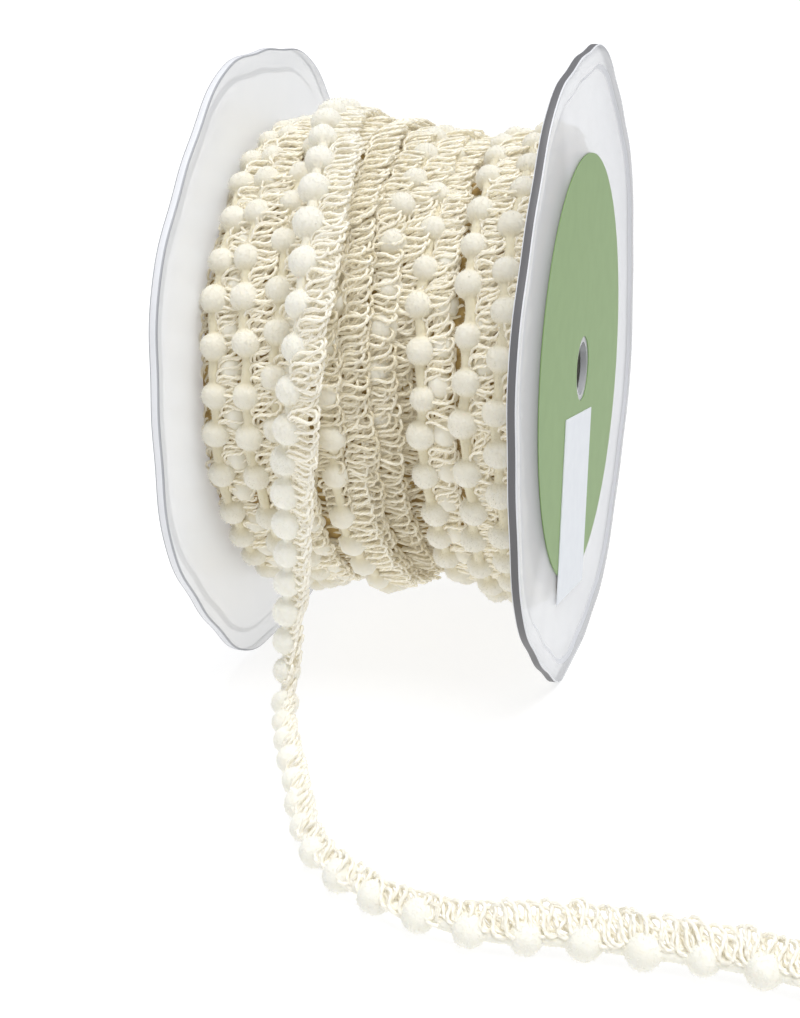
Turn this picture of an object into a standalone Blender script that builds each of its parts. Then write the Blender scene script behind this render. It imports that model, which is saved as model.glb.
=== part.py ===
"""Pompom fringe trim wound on a clear plastic spool.

The spool stands on the edges of its two flanges, its axis along X. The trim's last wrap crosses over
the others at the front, hangs off the winding and runs away along the floor. The origin is on the
floor, under the middle of the spool. Angles round the axis start at the top and turn towards the
front, which is -Y. Sizes are in millimetres until a mesh is made.
"""
import math

import bmesh
import bpy
from mathutils import Vector

MM = 0.001

# Spool
AXIS_HEIGHT = 49.1          # axis above the floor; what would reach lower is the flange's small foot flat
FLANGE_RADIUS = 50.0        # mean radius of the eight-lobed edge
LOBE_WAVES = ((8, 0.0156), (16, 0.0025), (24, -0.0023))  # waves round the edge, share of the radius
FLANGE_GAP = 50.8           # between the flanges' inner faces
WEB_THICKNESS = 1.0
RIM_THICKNESS = 2.0
RIM_WIDTH = 3.4
SPINDLE_HOLE_RADIUS = 4.25
LEFT_TURN = 22.5            # degrees from the top to the nearest lobe
RIGHT_TURN = 31.5
EDGE_POINTS = 64
BARREL_RADIUS = 20.0
BARREL_WALL = 2.0
CLEARANCE = 0.3             # between pieces that touch on the real thing

# Paper on the right flange
PAPER_THICKNESS = 0.2
DISC_RADIUS = 34.0
DISC_HOLE_RADIUS = 5.2
STICKER_WIDTH = 22.0
STICKER_HEIGHT = 29.3
STICKER_CENTRE = (-5.1, -21.2)  # y and z from the axis
STICKER_TURN = 8.6          # degrees, its top leaning to the back

# Trim
POMPOM_RADIUS = 2.15
POMPOM_PITCH = 6.9
POMPOMS_PER_TURN = 34
LINK_RADIUS = 0.75          # the chenille core between two pompoms
HEADING_NEAR = 2.5          # from the pompoms' centre line to the braid's near and far edge
HEADING_FAR = 6.4
HEADING_THICKNESS = 1.1
POMPOM_SIDES = 6
POMPOM_SHOULDER = 1.5       # along the core from a pompom's middle to the ring beside it

# Winding
STEPS_PER_POMPOM = 4
WINDING_HALF_WIDTH = FLANGE_GAP / 2 - CLEARANCE
GROUND_DROP = 2.4           # from the pompoms' crests down to what shows between them
BRAID_DROP = 1.1            # from the pompoms' crests down to the braid's top
BRAID_CROWN = 0.9           # from the braid's top down to its edges
BRAID_SPREAD = 0.5          # how far the wound braid is pressed out past its own edge
# Radius of the crests across the winding, which is slack and waisted
CREST_BY_X = (
    # x, radius
    (-25.1, 37.6),
    (-23.0, 38.6),
    (-17.0, 39.7),
    (-10.0, 39.5),
    (-4.0, 38.9),
    (0.5, 37.6),
    (5.0, 36.2),
    (8.5, 36.2),
    (12.0, 36.9),
    (16.4, 38.4),
    (21.0, 38.9),
    (25.1, 37.8),
)
# Each row of pompoms round the winding: x of the row at four angles, and the step its first pompom is on
ROWS = (
    # top, front, below, back, first step
    (-25.0, -22.2, -21.6, -23.6, 1),
    (-20.2, -16.6, -15.4, -18.4, 1),
    (-14.2, -12.1, -12.4, -13.0, 3),
    (1.2, -0.9, 0.4, 1.0, 1),
    (6.0, 9.2, 10.3, 8.0, 0),
    (14.4, 16.4, 16.2, 15.6, 3),
    (20.2, 21.3, 20.4, 20.8, 1),
)
# Strips of the grid between one row and the next, and at each end
STRIPS_BETWEEN = (2, 4, 3, 7, 5, 4, 3, 3)
# The last wrap, lying over the rows: angle, x and radius of its pompoms' centre line
LAST_WRAP = (
    # angle, x, radius
    (-170.0, -19.5, 36.4),
    (-120.0, -18.5, 37.6),
    (-75.0, -17.2, 39.6),
    (-35.0, -15.8, 41.0),
    (0.0, -14.3, 41.3),
    (20.0, -11.6, 41.4),
    (40.0, -9.6, 41.4),
    (70.0, -9.1, 41.3),
    (100.7, -9.6, 41.2),
)
# The loose end: pompoms' centre line, and the direction in which the braid lies from it
ROUTE = (
    # x, y, height above the floor, braid's direction x, y, z
    (-9.65, -40.3, 40.4, 0.80, -0.60, 0.00),
    (-9.9, -39.9, 35.0, 0.75, -0.66, 0.00),
    (-10.6, -38.9, 28.5, 0.65, -0.76, 0.00),
    (-11.3, -38.0, 21.5, 0.50, -0.87, 0.00),
    (-11.9, -37.3, 15.0, 0.35, -0.93, 0.10),
    (-12.3, -36.9, 8.9, 0.25, -0.95, 0.20),
    (-12.2, -37.9, 4.2, 0.15, -0.80, 0.60),
    (-11.2, -41.0, 2.1, 0.10, -0.40, 0.90),
    (-8.8, -46.5, 1.9, 0.10, 0.00, 1.00),
    (-5.0, -55.0, 1.9, 0.15, 0.05, 1.00),
    (-0.1, -65.3, 1.9, 0.30, 0.10, 0.90),
    (3.0, -72.5, 1.9, 0.45, 0.20, 0.80),
    (6.6, -79.6, 1.9, 0.60, 0.40, 0.55),
    (10.6, -84.4, 1.9, 0.60, 0.70, 0.20),
    (16.0, -88.5, 1.9, 0.45, 0.90, -0.05),
    (22.0, -91.7, 1.9, 0.30, 0.95, -0.10),
    (28.0, -93.6, 1.9, 0.20, 0.97, -0.10),
    (34.4, -94.8, 1.9, 0.05, 1.00, -0.05),
    (40.2, -93.9, 1.9, -0.05, 1.00, 0.15),
    (47.0, -93.3, 1.9, 0.00, 0.90, 0.40),
    (53.1, -93.4, 1.9, 0.00, 0.80, 0.60),
    (59.0, -93.2, 1.9, 0.00, 0.80, 0.60),
    (65.6, -93.6, 1.9, -0.05, 0.85, 0.50),
    (71.5, -95.0, 1.9, 0.10, 0.90, 0.40),
    (78.0, -97.3, 1.9, 0.20, 0.93, 0.30),
    (85.0, -99.8, 1.9, 0.25, 0.93, 0.25),
)


def clear_scene():
    for thing in list(bpy.data.objects):
        bpy.data.objects.remove(thing)


def make_material(name, colour, roughness, metallic=0.0, alpha=1.0):
    material = bpy.data.materials.new(name)
    material.use_nodes = True
    shader = material.node_tree.nodes["Principled BSDF"]
    shader.inputs["Base Color"].default_value = (*colour, 1.0)
    shader.inputs["Roughness"].default_value = roughness
    shader.inputs["Metallic"].default_value = metallic
    shader.inputs["Alpha"].default_value = alpha
    return material


def add_piece(name, mesh, material, collection):
    piece = bpy.data.objects.new(name, mesh)
    mesh.materials.append(material)
    collection.objects.link(piece)
    return piece


def loft(name, rings, closed_round, cap_ends=False):
    """Joins rings of points, each the same number long, into one closed mesh. Points are in millimetres."""
    shape = bmesh.new()
    rows = [[shape.verts.new(Vector(point) * MM) for point in ring] for ring in rings]
    pairs = list(zip(rows, rows[1:]))
    if closed_round:
        pairs.append((rows[-1], rows[0]))
    for row, following in pairs:
        for k in range(len(row)):
            after = (k + 1) % len(row)
            shape.faces.new((row[k], row[after], following[after], following[k]))
    if cap_ends:
        shape.faces.new(rows[0])
        shape.faces.new(rows[-1])
    bmesh.ops.triangulate(shape, faces=shape.faces)
    bmesh.ops.recalc_face_normals(shape, faces=shape.faces)
    mesh = bpy.data.meshes.new(name)
    shape.to_mesh(mesh)
    shape.free()
    return mesh


def around_axis(x, radius, degrees):
    """A point at an angle from the top towards the front."""
    angle = math.radians(degrees)
    return (x, -radius * math.sin(angle), AXIS_HEIGHT + radius * math.cos(angle))


def blend_table(table, at, column):
    """A value read from a table whose first column rises, with soft turns at its rows."""
    if at <= table[0][0]:
        return table[0][column]
    for low, high in zip(table, table[1:]):
        if at <= high[0]:
            share = (at - low[0]) / (high[0] - low[0])
            share = share * share * (3 - 2 * share)
            return low[column] + (high[column] - low[column]) * share
    return table[-1][column]


def flange(name, side, turn, material, collection):
    """A thin web with a raised rim on its outer face and a spindle hole in the middle."""
    inner = side * FLANGE_GAP / 2
    web = inner + side * WEB_THICKNESS
    rim = inner + side * RIM_THICKNESS
    angles = [turn + 360 * k / EDGE_POINTS for k in range(EDGE_POINTS)]

    def round_ring(x, radius):
        return [around_axis(x, radius, angle) for angle in angles]

    def lobed_ring(x, inset):
        ring = []
        for angle in angles:
            wave = sum(share * math.cos(math.radians(count * (angle - turn))) for count, share in LOBE_WAVES)
            point = around_axis(x, FLANGE_RADIUS * (1 + wave) - inset, angle)
            ring.append((point[0], point[1], max(point[2], 0.0)))
        return ring

    rings = [
        round_ring(inner, SPINDLE_HOLE_RADIUS),
        lobed_ring(inner, 0),
        lobed_ring(rim, 0),
        lobed_ring(rim, RIM_WIDTH),
        lobed_ring(web, RIM_WIDTH),
        round_ring(web, SPINDLE_HOLE_RADIUS),
    ]
    return add_piece(name, loft(name, rings, closed_round=True), material, collection)


def turned_ring(name, low_x, high_x, inner_radius, outer_radius, points, material, collection):
    """A plain ring about the spool's axis, such as the barrel tube or the paper disc."""
    angles = [360 * k / points for k in range(points)]
    corners = (
        (low_x, inner_radius),
        (low_x, outer_radius),
        (high_x, outer_radius),
        (high_x, inner_radius),
    )
    rings = [[around_axis(x, radius, angle) for angle in angles] for x, radius in corners]
    return add_piece(name, loft(name, rings, closed_round=True), material, collection)


def sticker(name, low_x, material, collection):
    shape = bmesh.new()
    bmesh.ops.create_cube(shape, size=1.0)
    size = (PAPER_THICKNESS, STICKER_WIDTH, STICKER_HEIGHT)
    bmesh.ops.scale(shape, vec=Vector(size) * MM, verts=shape.verts)
    mesh = bpy.data.meshes.new(name)
    shape.to_mesh(mesh)
    shape.free()
    piece = add_piece(name, mesh, material, collection)
    y, z = STICKER_CENTRE
    piece.location = Vector((low_x + PAPER_THICKNESS / 2, y, AXIS_HEIGHT + z)) * MM
    piece.rotation_euler = (-math.radians(STICKER_TURN), 0, 0)
    return piece


def row_x(row, degrees):
    """Where a row of pompoms is at an angle: a smooth closed line through its four places."""
    top, front, below, back = row[:4]
    angle = math.radians(degrees)
    mean = (top + front + below + back) / 4
    twice = (top - front + below - back) / 4
    return (
        mean
        + (top - below) / 2 * math.cos(angle)
        + (front - back) / 2 * math.sin(angle)
        + twice * math.cos(2 * angle)
    )


def dome(centre_radius, across, along):
    """Height of a pompom's surface, or 0 beside it."""
    left = POMPOM_RADIUS**2 - across**2 - along**2
    return centre_radius + math.sqrt(left) if left > 0 else 0.0


def braid_top(across, crest):
    """Height of the looped braid beside a row, rounded towards its edges."""
    middle = (HEADING_NEAR + HEADING_FAR) / 2
    share = (across - middle) / (HEADING_FAR - middle + BRAID_SPREAD)
    return crest - BRAID_DROP - BRAID_CROWN * share * share if abs(share) < 1 else 0.0


def surface_radius(x, degrees):
    """The winding's outer surface: the ground between rows, the braids, the pompoms and the last wrap."""
    crest = blend_table(CREST_BY_X, x, 1)
    heights = [crest - GROUND_DROP]
    step = 360 / (POMPOMS_PER_TURN * STEPS_PER_POMPOM)
    pitch = 360 / POMPOMS_PER_TURN
    for row in ROWS:
        centre = row_x(row, degrees)
        row_crest = blend_table(CREST_BY_X, centre, 1)
        off = (degrees - row[4] * step + pitch / 2) % pitch - pitch / 2
        middle = row_crest - POMPOM_RADIUS
        heights.append(dome(middle, x - centre, math.radians(off) * middle))
        heights.append(braid_top(x - centre, row_crest))
    if LAST_WRAP[0][0] <= degrees <= LAST_WRAP[-1][0]:
        centre = blend_table(LAST_WRAP, degrees, 1)
        middle = blend_table(LAST_WRAP, degrees, 2)
        off = (degrees + pitch / 2) % pitch - pitch / 2
        heights.append(dome(middle, x - centre, math.radians(off) * middle))
        if abs(x - centre) < POMPOM_RADIUS:
            heights.append(middle + LINK_RADIUS)
        heights.append(braid_top(x - centre, middle + POMPOM_RADIUS))
    return max(heights)


def grid_line_places(degrees):
    """Places across the winding of the grid's lines: one runs along the top of each row."""
    anchors = [-WINDING_HALF_WIDTH] + [row_x(row, degrees) for row in ROWS] + [WINDING_HALF_WIDTH]
    places = []
    for low, high, strips in zip(anchors, anchors[1:], STRIPS_BETWEEN):
        places += [low + (high - low) * k / strips for k in range(strips)]
    return places + [WINDING_HALF_WIDTH]


def winding(name, material, collection):
    """All the wound trim as one ring, with its pompoms, braids and last wrap raised on the outside."""
    steps = POMPOMS_PER_TURN * STEPS_PER_POMPOM
    inner_radius = BARREL_RADIUS + CLEARANCE
    sections = []
    for k in range(steps):
        degrees = 360 * k / steps - 180
        section = [around_axis(x, surface_radius(x, degrees), degrees) for x in grid_line_places(degrees)]
        section.append(around_axis(WINDING_HALF_WIDTH, inner_radius, degrees))
        section.append(around_axis(-WINDING_HALF_WIDTH, inner_radius, degrees))
        sections.append(section)
    return add_piece(name, loft(name, sections, closed_round=True), material, collection)


def smooth_path(points, per_span=12):
    """Dense points on a Catmull-Rom curve through the route's points, each with all its columns."""
    padded = [points[0]] + list(points) + [points[-1]]
    dense = []
    for before, start, end, after in zip(padded, padded[1:], padded[2:], padded[3:]):
        for k in range(per_span):
            t = k / per_span
            dense.append(tuple(
                0.5 * (2 * b + (c - a) * t + (2 * a - 5 * b + 4 * c - d) * t**2 + (3 * b - a - 3 * c + d) * t**3)
                for a, b, c, d in zip(before, start, end, after)
            ))
    return dense + [tuple(points[-1])]


def stations(route, lengths):
    """The point, forward direction and braid's direction at given lengths along the route."""
    dense = smooth_path(route)
    places = [Vector(row[:3]) for row in dense]
    run = [0.0]
    for low, high in zip(places, places[1:]):
        run.append(run[-1] + (high - low).length)
    found = []
    for length in lengths:
        k = max(i for i in range(len(run) - 1) if run[i] <= max(length, 0.0))
        share = (length - run[k]) / (run[k + 1] - run[k])
        point = places[k].lerp(places[k + 1], share)
        forward = (places[min(k + 2, len(places) - 1)] - places[max(k - 1, 0)]).normalized()
        braid = Vector(dense[k][3:]).lerp(Vector(dense[k + 1][3:]), share)
        braid = (braid - forward * braid.dot(forward)).normalized()
        found.append((point, forward, braid))
    return found, run[-1]


def tail_pompoms(name, material, collection):
    """Pompoms on their thin core, a six-sided section with a flat side down where it lies on the floor."""
    total = stations(ROUTE, [0.0])[1]
    count = int((total + POMPOM_PITCH / 2 - POMPOM_RADIUS) / POMPOM_PITCH)
    shoulder_radius = math.sqrt(POMPOM_RADIUS**2 - POMPOM_SHOULDER**2)
    lengths, radii = [0.0], [LINK_RADIUS]
    for k in range(count):
        middle = (k + 0.5) * POMPOM_PITCH
        lengths += [middle - POMPOM_SHOULDER, middle, middle + POMPOM_SHOULDER, middle + POMPOM_PITCH / 2]
        radii += [shoulder_radius, POMPOM_RADIUS, shoulder_radius, LINK_RADIUS]
    if total - lengths[-1] > LINK_RADIUS:
        lengths.append(total)
        radii.append(LINK_RADIUS)
    rings = []
    for (point, forward, braid), radius in zip(stations(ROUTE, lengths)[0], radii):
        steepness = abs(forward.z)
        up = Vector((0, -steepness, 1 - steepness))
        up = (up - forward * up.dot(forward)).normalized()
        beside = forward.cross(up)
        ring = []
        for k in range(POMPOM_SIDES):
            angle = 2 * math.pi * (k + 0.5) / POMPOM_SIDES
            ring.append(point + radius * (math.sin(angle) * beside + math.cos(angle) * up))
        rings.append(ring)
    rings = [[(p.x, p.y, max(p.z, 0.0)) for p in ring] for ring in rings]
    return add_piece(name, loft(name, rings, closed_round=False, cap_ends=True), material, collection)


def tail_heading(name, material, collection):
    """The looped braid beside the pompoms, as one flat band that twists with the loose end."""
    total = stations(ROUTE, [0.0])[1]
    count = round(total / (POMPOM_PITCH / 2))
    half = HEADING_THICKNESS / 2
    rings = []
    for point, forward, braid in stations(ROUTE, [total * k / count for k in range(count + 1)])[0]:
        across = forward.cross(braid)
        corners = ((HEADING_NEAR, -half), (HEADING_FAR, -half), (HEADING_FAR, half), (HEADING_NEAR, half))
        rings.append([point + braid * out + across * thick for out, thick in corners])
    rings = [[(p.x, p.y, max(p.z, 0.0)) for p in ring] for ring in rings]
    return add_piece(name, loft(name, rings, closed_round=False, cap_ends=True), material, collection)


def main():
    clear_scene()
    collection = bpy.data.collections.new("pompom_fringe_trim")
    bpy.context.scene.collection.children.link(collection)

    clear_plastic = make_material("clear_plastic", (0.80, 0.81, 0.83), 0.12, alpha=0.35)
    white_plastic = make_material("white_plastic", (0.82, 0.82, 0.80), 0.45)
    green_paper = make_material("green_paper", (0.29, 0.42, 0.20), 0.55)
    white_paper = make_material("white_paper", (0.86, 0.88, 0.90), 0.60)
    ivory_yarn = make_material("ivory_yarn", (0.86, 0.80, 0.66), 0.85)

    flange("flange_left", -1, LEFT_TURN, clear_plastic, collection)
    flange("flange_right", 1, RIGHT_TURN, clear_plastic, collection)

    half_barrel = FLANGE_GAP / 2 - CLEARANCE
    turned_ring("barrel", -half_barrel, half_barrel, BARREL_RADIUS - BARREL_WALL, BARREL_RADIUS, 48,
                white_plastic, collection)

    disc_x = FLANGE_GAP / 2 + WEB_THICKNESS + CLEARANCE
    turned_ring("label_disc", disc_x, disc_x + PAPER_THICKNESS, DISC_HOLE_RADIUS, DISC_RADIUS, 64,
                green_paper, collection)
    sticker("sticker", disc_x + PAPER_THICKNESS + CLEARANCE, white_paper, collection)

    winding("winding", ivory_yarn, collection)
    tail_pompoms("tail_pompoms", ivory_yarn, collection)
    tail_heading("tail_heading", ivory_yarn, collection)


main()
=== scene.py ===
"""Looks of a spool of mini pompom fringe: the wound trim, its loose end, the clear spool and its papers."""
import math

import bmesh
import bpy
from mathutils import Matrix, Vector


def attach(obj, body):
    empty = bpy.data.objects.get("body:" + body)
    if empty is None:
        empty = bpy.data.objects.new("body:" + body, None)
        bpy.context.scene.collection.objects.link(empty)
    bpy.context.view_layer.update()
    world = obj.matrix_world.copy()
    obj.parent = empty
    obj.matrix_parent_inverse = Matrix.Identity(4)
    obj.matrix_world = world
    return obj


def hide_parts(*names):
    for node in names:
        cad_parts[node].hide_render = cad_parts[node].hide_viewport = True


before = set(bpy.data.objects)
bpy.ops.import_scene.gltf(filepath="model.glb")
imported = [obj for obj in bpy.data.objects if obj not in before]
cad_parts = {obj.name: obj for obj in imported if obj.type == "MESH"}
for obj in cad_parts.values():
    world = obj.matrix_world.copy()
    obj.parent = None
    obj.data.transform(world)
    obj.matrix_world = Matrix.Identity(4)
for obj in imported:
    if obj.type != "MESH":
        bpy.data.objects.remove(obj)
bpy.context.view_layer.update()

# The spool's two flanges
# Thin plates of clear polystyrene, injection moulded, with an eight-lobed edge and a raised rim on the
# outer face. They carry the whole spool, which stands on the small flat spots of their edges.
MM = 0.001
AXIS_HEIGHT = 49.1
FLANGE_RADIUS = 50.0
LOBE_WAVES = ((8, 0.0156), (16, 0.0025), (24, -0.0023))
FLANGE_GAP = 50.8
WEB_THICKNESS = 1.0
RIM_THICKNESS = 1.4
RIM_WIDTH = 3.4
SPINDLE_HOLE_RADIUS = 4.25
FLANGES = (
    # node, side, turn of the lobes in degrees, width of the edge's rounded corners, and the colour and
    # opacity of the web, of the edge, of its corners and of the step inside the rim; these colours hold
    # painted reflections and painted shade, so the two flanges differ
    ("flange_left", -1, 22.5, 0.26, (
        ("web", "#F1F4FA", 0.56),
        ("edge", "#DFE0E4", 0.75),
        ("corner", "#989A9F", 0.8),
        ("step", "#A4A6AB", 0.7),
    )),
    ("flange_right", 1, 31.5, 0.18, (
        ("web", "#E0E1E4", 0.62),
        ("edge", "#656466", 0.98),
        ("corner", "#DDDEE1", 0.95),
        ("step", "#CFD0D4", 0.9),
    )),
)
EDGE_POINTS = 384


def colour(hex_value):
    """An sRGB hex colour as the linear values that a shader's socket takes."""
    parts = [int(hex_value[k:k + 2], 16) / 255 for k in (1, 3, 5)]
    return tuple(c / 12.92 if c <= 0.04045 else ((c + 0.055) / 1.055) ** 2.4 for c in parts) + (1.0,)


def add_node(tree, kind, sockets=None, **settings):
    """One node: its settings, and its sockets by name or number, each with a value, a socket or a node."""
    made = tree.nodes.new(kind)
    for name, value in settings.items():
        setattr(made, name, value)
    for key, value in (sockets or {}).items():
        if isinstance(value, bpy.types.Node):
            value = value.outputs[0]
        if isinstance(value, bpy.types.NodeSocket):
            tree.links.new(value, made.inputs[key])
        else:
            made.inputs[key].default_value = value
    return made


def new_material(name, **sockets):
    """A material with one Principled BSDF; underscores in the socket names stand for spaces."""
    material = bpy.data.materials.new(name)
    material.use_nodes = True
    tree = material.node_tree
    tree.nodes.clear()
    shader = add_node(tree, "ShaderNodeBsdfPrincipled",
                      {key.replace("_", " "): value for key, value in sockets.items()})
    add_node(tree, "ShaderNodeOutputMaterial", {"Surface": shader.outputs[0]})
    return material, tree, shader


def around_axis(x, radius, degrees):
    """A point in metres, at an angle from the top of the spool towards its front."""
    angle = math.radians(degrees)
    return Vector((x, -radius * math.sin(angle), AXIS_HEIGHT + radius * math.cos(angle))) * MM


def mesh_piece(name, mesh, material=None):
    """An object for a mesh, at the origin."""
    piece = bpy.data.objects.new(name, mesh)
    bpy.context.scene.collection.objects.link(piece)
    if material:
        mesh.materials.append(material)
    return piece


def lobed_edge(degrees, turn, inset):
    """Radius of the flange's edge, less an inset, at an angle."""
    wave = sum(share * math.cos(math.radians(count * (degrees - turn))) for count, share in LOBE_WAVES)
    return FLANGE_RADIUS * (1 + wave) - inset


def flange_mesh(name, side, turn, corner):
    """Rings of points from the hole's inner lip, over the edge and rim, to its outer lip."""
    inner = side * FLANGE_GAP / 2
    web = inner + side * WEB_THICKNESS
    rim = inner + side * RIM_THICKNESS
    soft = side * corner
    sections = (
        # x, inset from the edge, or None and a radius for a round ring, and the material's number
        (inner, None, SPINDLE_HOLE_RADIUS, 0),
        (inner, RIM_WIDTH + 1, None, 0),
        (inner, corner, None, 2),
        (inner + 0.3 * soft, 0.3 * corner, None, 2),
        (inner + soft, 0, None, 1),
        (rim - soft, 0, None, 2),
        (rim - 0.3 * soft, 0.3 * corner, None, 2),
        (rim, corner, None, 0),
        (rim, RIM_WIDTH - 0.4, None, 3),
        (0.3 * web + 0.7 * rim, RIM_WIDTH - 0.2, None, 3),
        (0.7 * web + 0.3 * rim, RIM_WIDTH + 0.1, None, 3),
        (web, RIM_WIDTH + 0.4, None, 0),
        (web, None, SPINDLE_HOLE_RADIUS, 0),
    )
    shape = bmesh.new()
    rings = []
    for x, inset, radius, _ in sections:
        ring = []
        for k in range(EDGE_POINTS):
            degrees = turn + 360 * k / EDGE_POINTS
            point = around_axis(x, radius if radius else lobed_edge(degrees, turn, inset), degrees)
            point.z = max(point.z, 0.0)
            ring.append(shape.verts.new(point))
        rings.append(ring)
    for number, (ring, following) in enumerate(zip(rings, rings[1:] + rings[:1])):
        for k in range(EDGE_POINTS):
            after = (k + 1) % EDGE_POINTS
            face = shape.faces.new((ring[k], ring[after], following[after], following[k]))
            face.material_index = sections[number][3]
            face.smooth = True
    bmesh.ops.recalc_face_normals(shape, faces=shape.faces)
    mesh = bpy.data.meshes.new(name)
    shape.to_mesh(mesh)
    shape.free()
    mesh.set_sharp_from_angle(angle=math.radians(35))
    return mesh


# Clear polystyrene, injection moulded: glossy and see-through with a faint haze. Its edge is painted
# reflection: a band darker or lighter than the web, with a painted line at each corner and at the rim's step.
# The two flanges' webs are lit and shaded copies of one plastic.
HAZE_LIGHT = 1.15
for name, side, turn, corner, painted_light_tones in FLANGES:
    plate = mesh_piece(name + "_plate", flange_mesh(name + "_plate", side, turn, corner))
    # Each part's colour is painted reflection or painted shade of the same clear plastic.
    for part, hex_value, opacity in painted_light_tones:
        web = part == "web"
        material, tree, shader = new_material(
            f"clear_polystyrene_{part}_{name}", Roughness=0.2 if web else 0.45, IOR=1.59,
            Specular_IOR_Level=0.5 if web else 0.25, Alpha=opacity)
        haze = add_node(tree, "ShaderNodeTexNoise", {
            "Scale": 60.0, "Detail": 4.0, "Vector": add_node(tree, "ShaderNodeTexCoord").outputs["Object"]})
        light = [min(1.0, c * HAZE_LIGHT) for c in colour(hex_value)]
        tone = add_node(tree, "ShaderNodeMix", {
            "Factor": haze.outputs["Fac"], 6: colour(hex_value), 7: light}, data_type="RGBA")
        tree.links.new(tone.outputs[2], shader.inputs["Base Color"])
        plate.data.materials.append(material)
    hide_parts(name)
    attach(plate, "root")

# The barrel between the flanges
# A plain tube of extruded white polystyrene that the trim is wound on. Only its ends show, through the
# flanges: satin, with a faint grain.
white_tube, tree, shader = new_material("white_polystyrene", Base_Color=colour("#E9E8E2"), Roughness=0.4)
grain = add_node(tree, "ShaderNodeTexNoise", {"Scale": 900.0, "Detail": 3.0,
                 "Vector": add_node(tree, "ShaderNodeTexCoord").outputs["Object"]})
bump = add_node(tree, "ShaderNodeBump", {
    "Strength": 0.1, "Distance": 0.0001, "Height": grain.outputs["Fac"]})
tree.links.new(bump.outputs[0], shader.inputs["Normal"])
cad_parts["barrel"].data.materials.clear()
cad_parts["barrel"].data.materials.append(white_tube)

# The papers on the right flange
# A round disc of green coated paper stuck on the web, and a white sticker over its lower edge. Both are
# blank and nearly flat.

# Coated paper: even and satin, with a faint mottle and a fine tooth.
green_paper, tree, shader = new_material("green_coated_paper", Roughness=0.5)
place = add_node(tree, "ShaderNodeTexCoord").outputs["Object"]
mottle = add_node(tree, "ShaderNodeTexNoise", {"Scale": 260.0, "Detail": 4.0, "Vector": place})
tone = add_node(tree, "ShaderNodeMix", {
    "Factor": mottle.outputs["Fac"], 6: colour("#7A985B"), 7: colour("#86A466")}, data_type="RGBA")
tree.links.new(tone.outputs[2], shader.inputs["Base Color"])
tooth = add_node(tree, "ShaderNodeTexNoise", {"Scale": 4000.0, "Detail": 2.0, "Vector": place})
bump = add_node(tree, "ShaderNodeBump", {
    "Strength": 0.12, "Distance": 0.00005, "Height": tooth.outputs["Fac"]})
tree.links.new(bump.outputs[0], shader.inputs["Normal"])
WEB_FACE = FLANGE_GAP / 2 + WEB_THICKNESS
PAPER_THICKNESS = 0.15
GLUE_THICKNESS = 0.02
DISC_RADIUS = 34.0
DISC_HOLE_RADIUS = 5.2
DISC_POINTS = 180
disc_shape = bmesh.new()
disc_rings = []
for x, radius in (
    (WEB_FACE + GLUE_THICKNESS, DISC_HOLE_RADIUS),
    (WEB_FACE + GLUE_THICKNESS, DISC_RADIUS),
    (WEB_FACE + GLUE_THICKNESS + PAPER_THICKNESS, DISC_RADIUS),
    (WEB_FACE + GLUE_THICKNESS + PAPER_THICKNESS, DISC_HOLE_RADIUS),
):
    disc_rings.append([disc_shape.verts.new(around_axis(x, radius, 360 * k / DISC_POINTS))
                       for k in range(DISC_POINTS)])
for ring, following in zip(disc_rings, disc_rings[1:] + disc_rings[:1]):
    for k in range(DISC_POINTS):
        after = (k + 1) % DISC_POINTS
        disc_shape.faces.new((ring[k], ring[after], following[after], following[k]))
bmesh.ops.recalc_face_normals(disc_shape, faces=disc_shape.faces)
disc_mesh = bpy.data.meshes.new("paper_disc")
disc_shape.to_mesh(disc_mesh)
disc_shape.free()
disc = mesh_piece("paper_disc", disc_mesh, green_paper)
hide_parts("label_disc")
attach(disc, "root")

# Uncoated sticker paper: matt and a little cool beside the disc.
white_paper, tree, shader = new_material("white_sticker_paper", Roughness=0.55)
place = add_node(tree, "ShaderNodeTexCoord").outputs["Object"]
mottle = add_node(tree, "ShaderNodeTexNoise", {"Scale": 400.0, "Detail": 3.0, "Vector": place})
tone = add_node(tree, "ShaderNodeMix", {
    "Factor": mottle.outputs["Fac"], 6: colour("#DFE2E7"), 7: colour("#EAEDF0")}, data_type="RGBA")
tree.links.new(tone.outputs[2], shader.inputs["Base Color"])
STICKER_SIZE = (22.0, 29.3)
STICKER_PLACE = (-5.1, -21.2)
STICKER_TURN = -8.6
sticker_shape = bmesh.new()
bmesh.ops.create_cube(sticker_shape, size=1.0)
lowest = WEB_FACE + 2 * GLUE_THICKNESS + PAPER_THICKNESS
bmesh.ops.scale(sticker_shape, vec=(PAPER_THICKNESS * MM, STICKER_SIZE[0] * MM, STICKER_SIZE[1] * MM),
                verts=sticker_shape.verts)
bmesh.ops.transform(sticker_shape, verts=sticker_shape.verts,
                    matrix=Matrix.Rotation(math.radians(STICKER_TURN), 4, "X"))
bmesh.ops.translate(sticker_shape, verts=sticker_shape.verts, vec=Vector((
    lowest + PAPER_THICKNESS / 2, STICKER_PLACE[0], AXIS_HEIGHT + STICKER_PLACE[1])) * MM)
sticker_mesh = bpy.data.meshes.new("white_sticker")
sticker_shape.to_mesh(sticker_mesh)
sticker_shape.free()
sticker = mesh_piece("white_sticker", sticker_mesh, white_paper)
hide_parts("sticker")
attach(sticker, "root")

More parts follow.
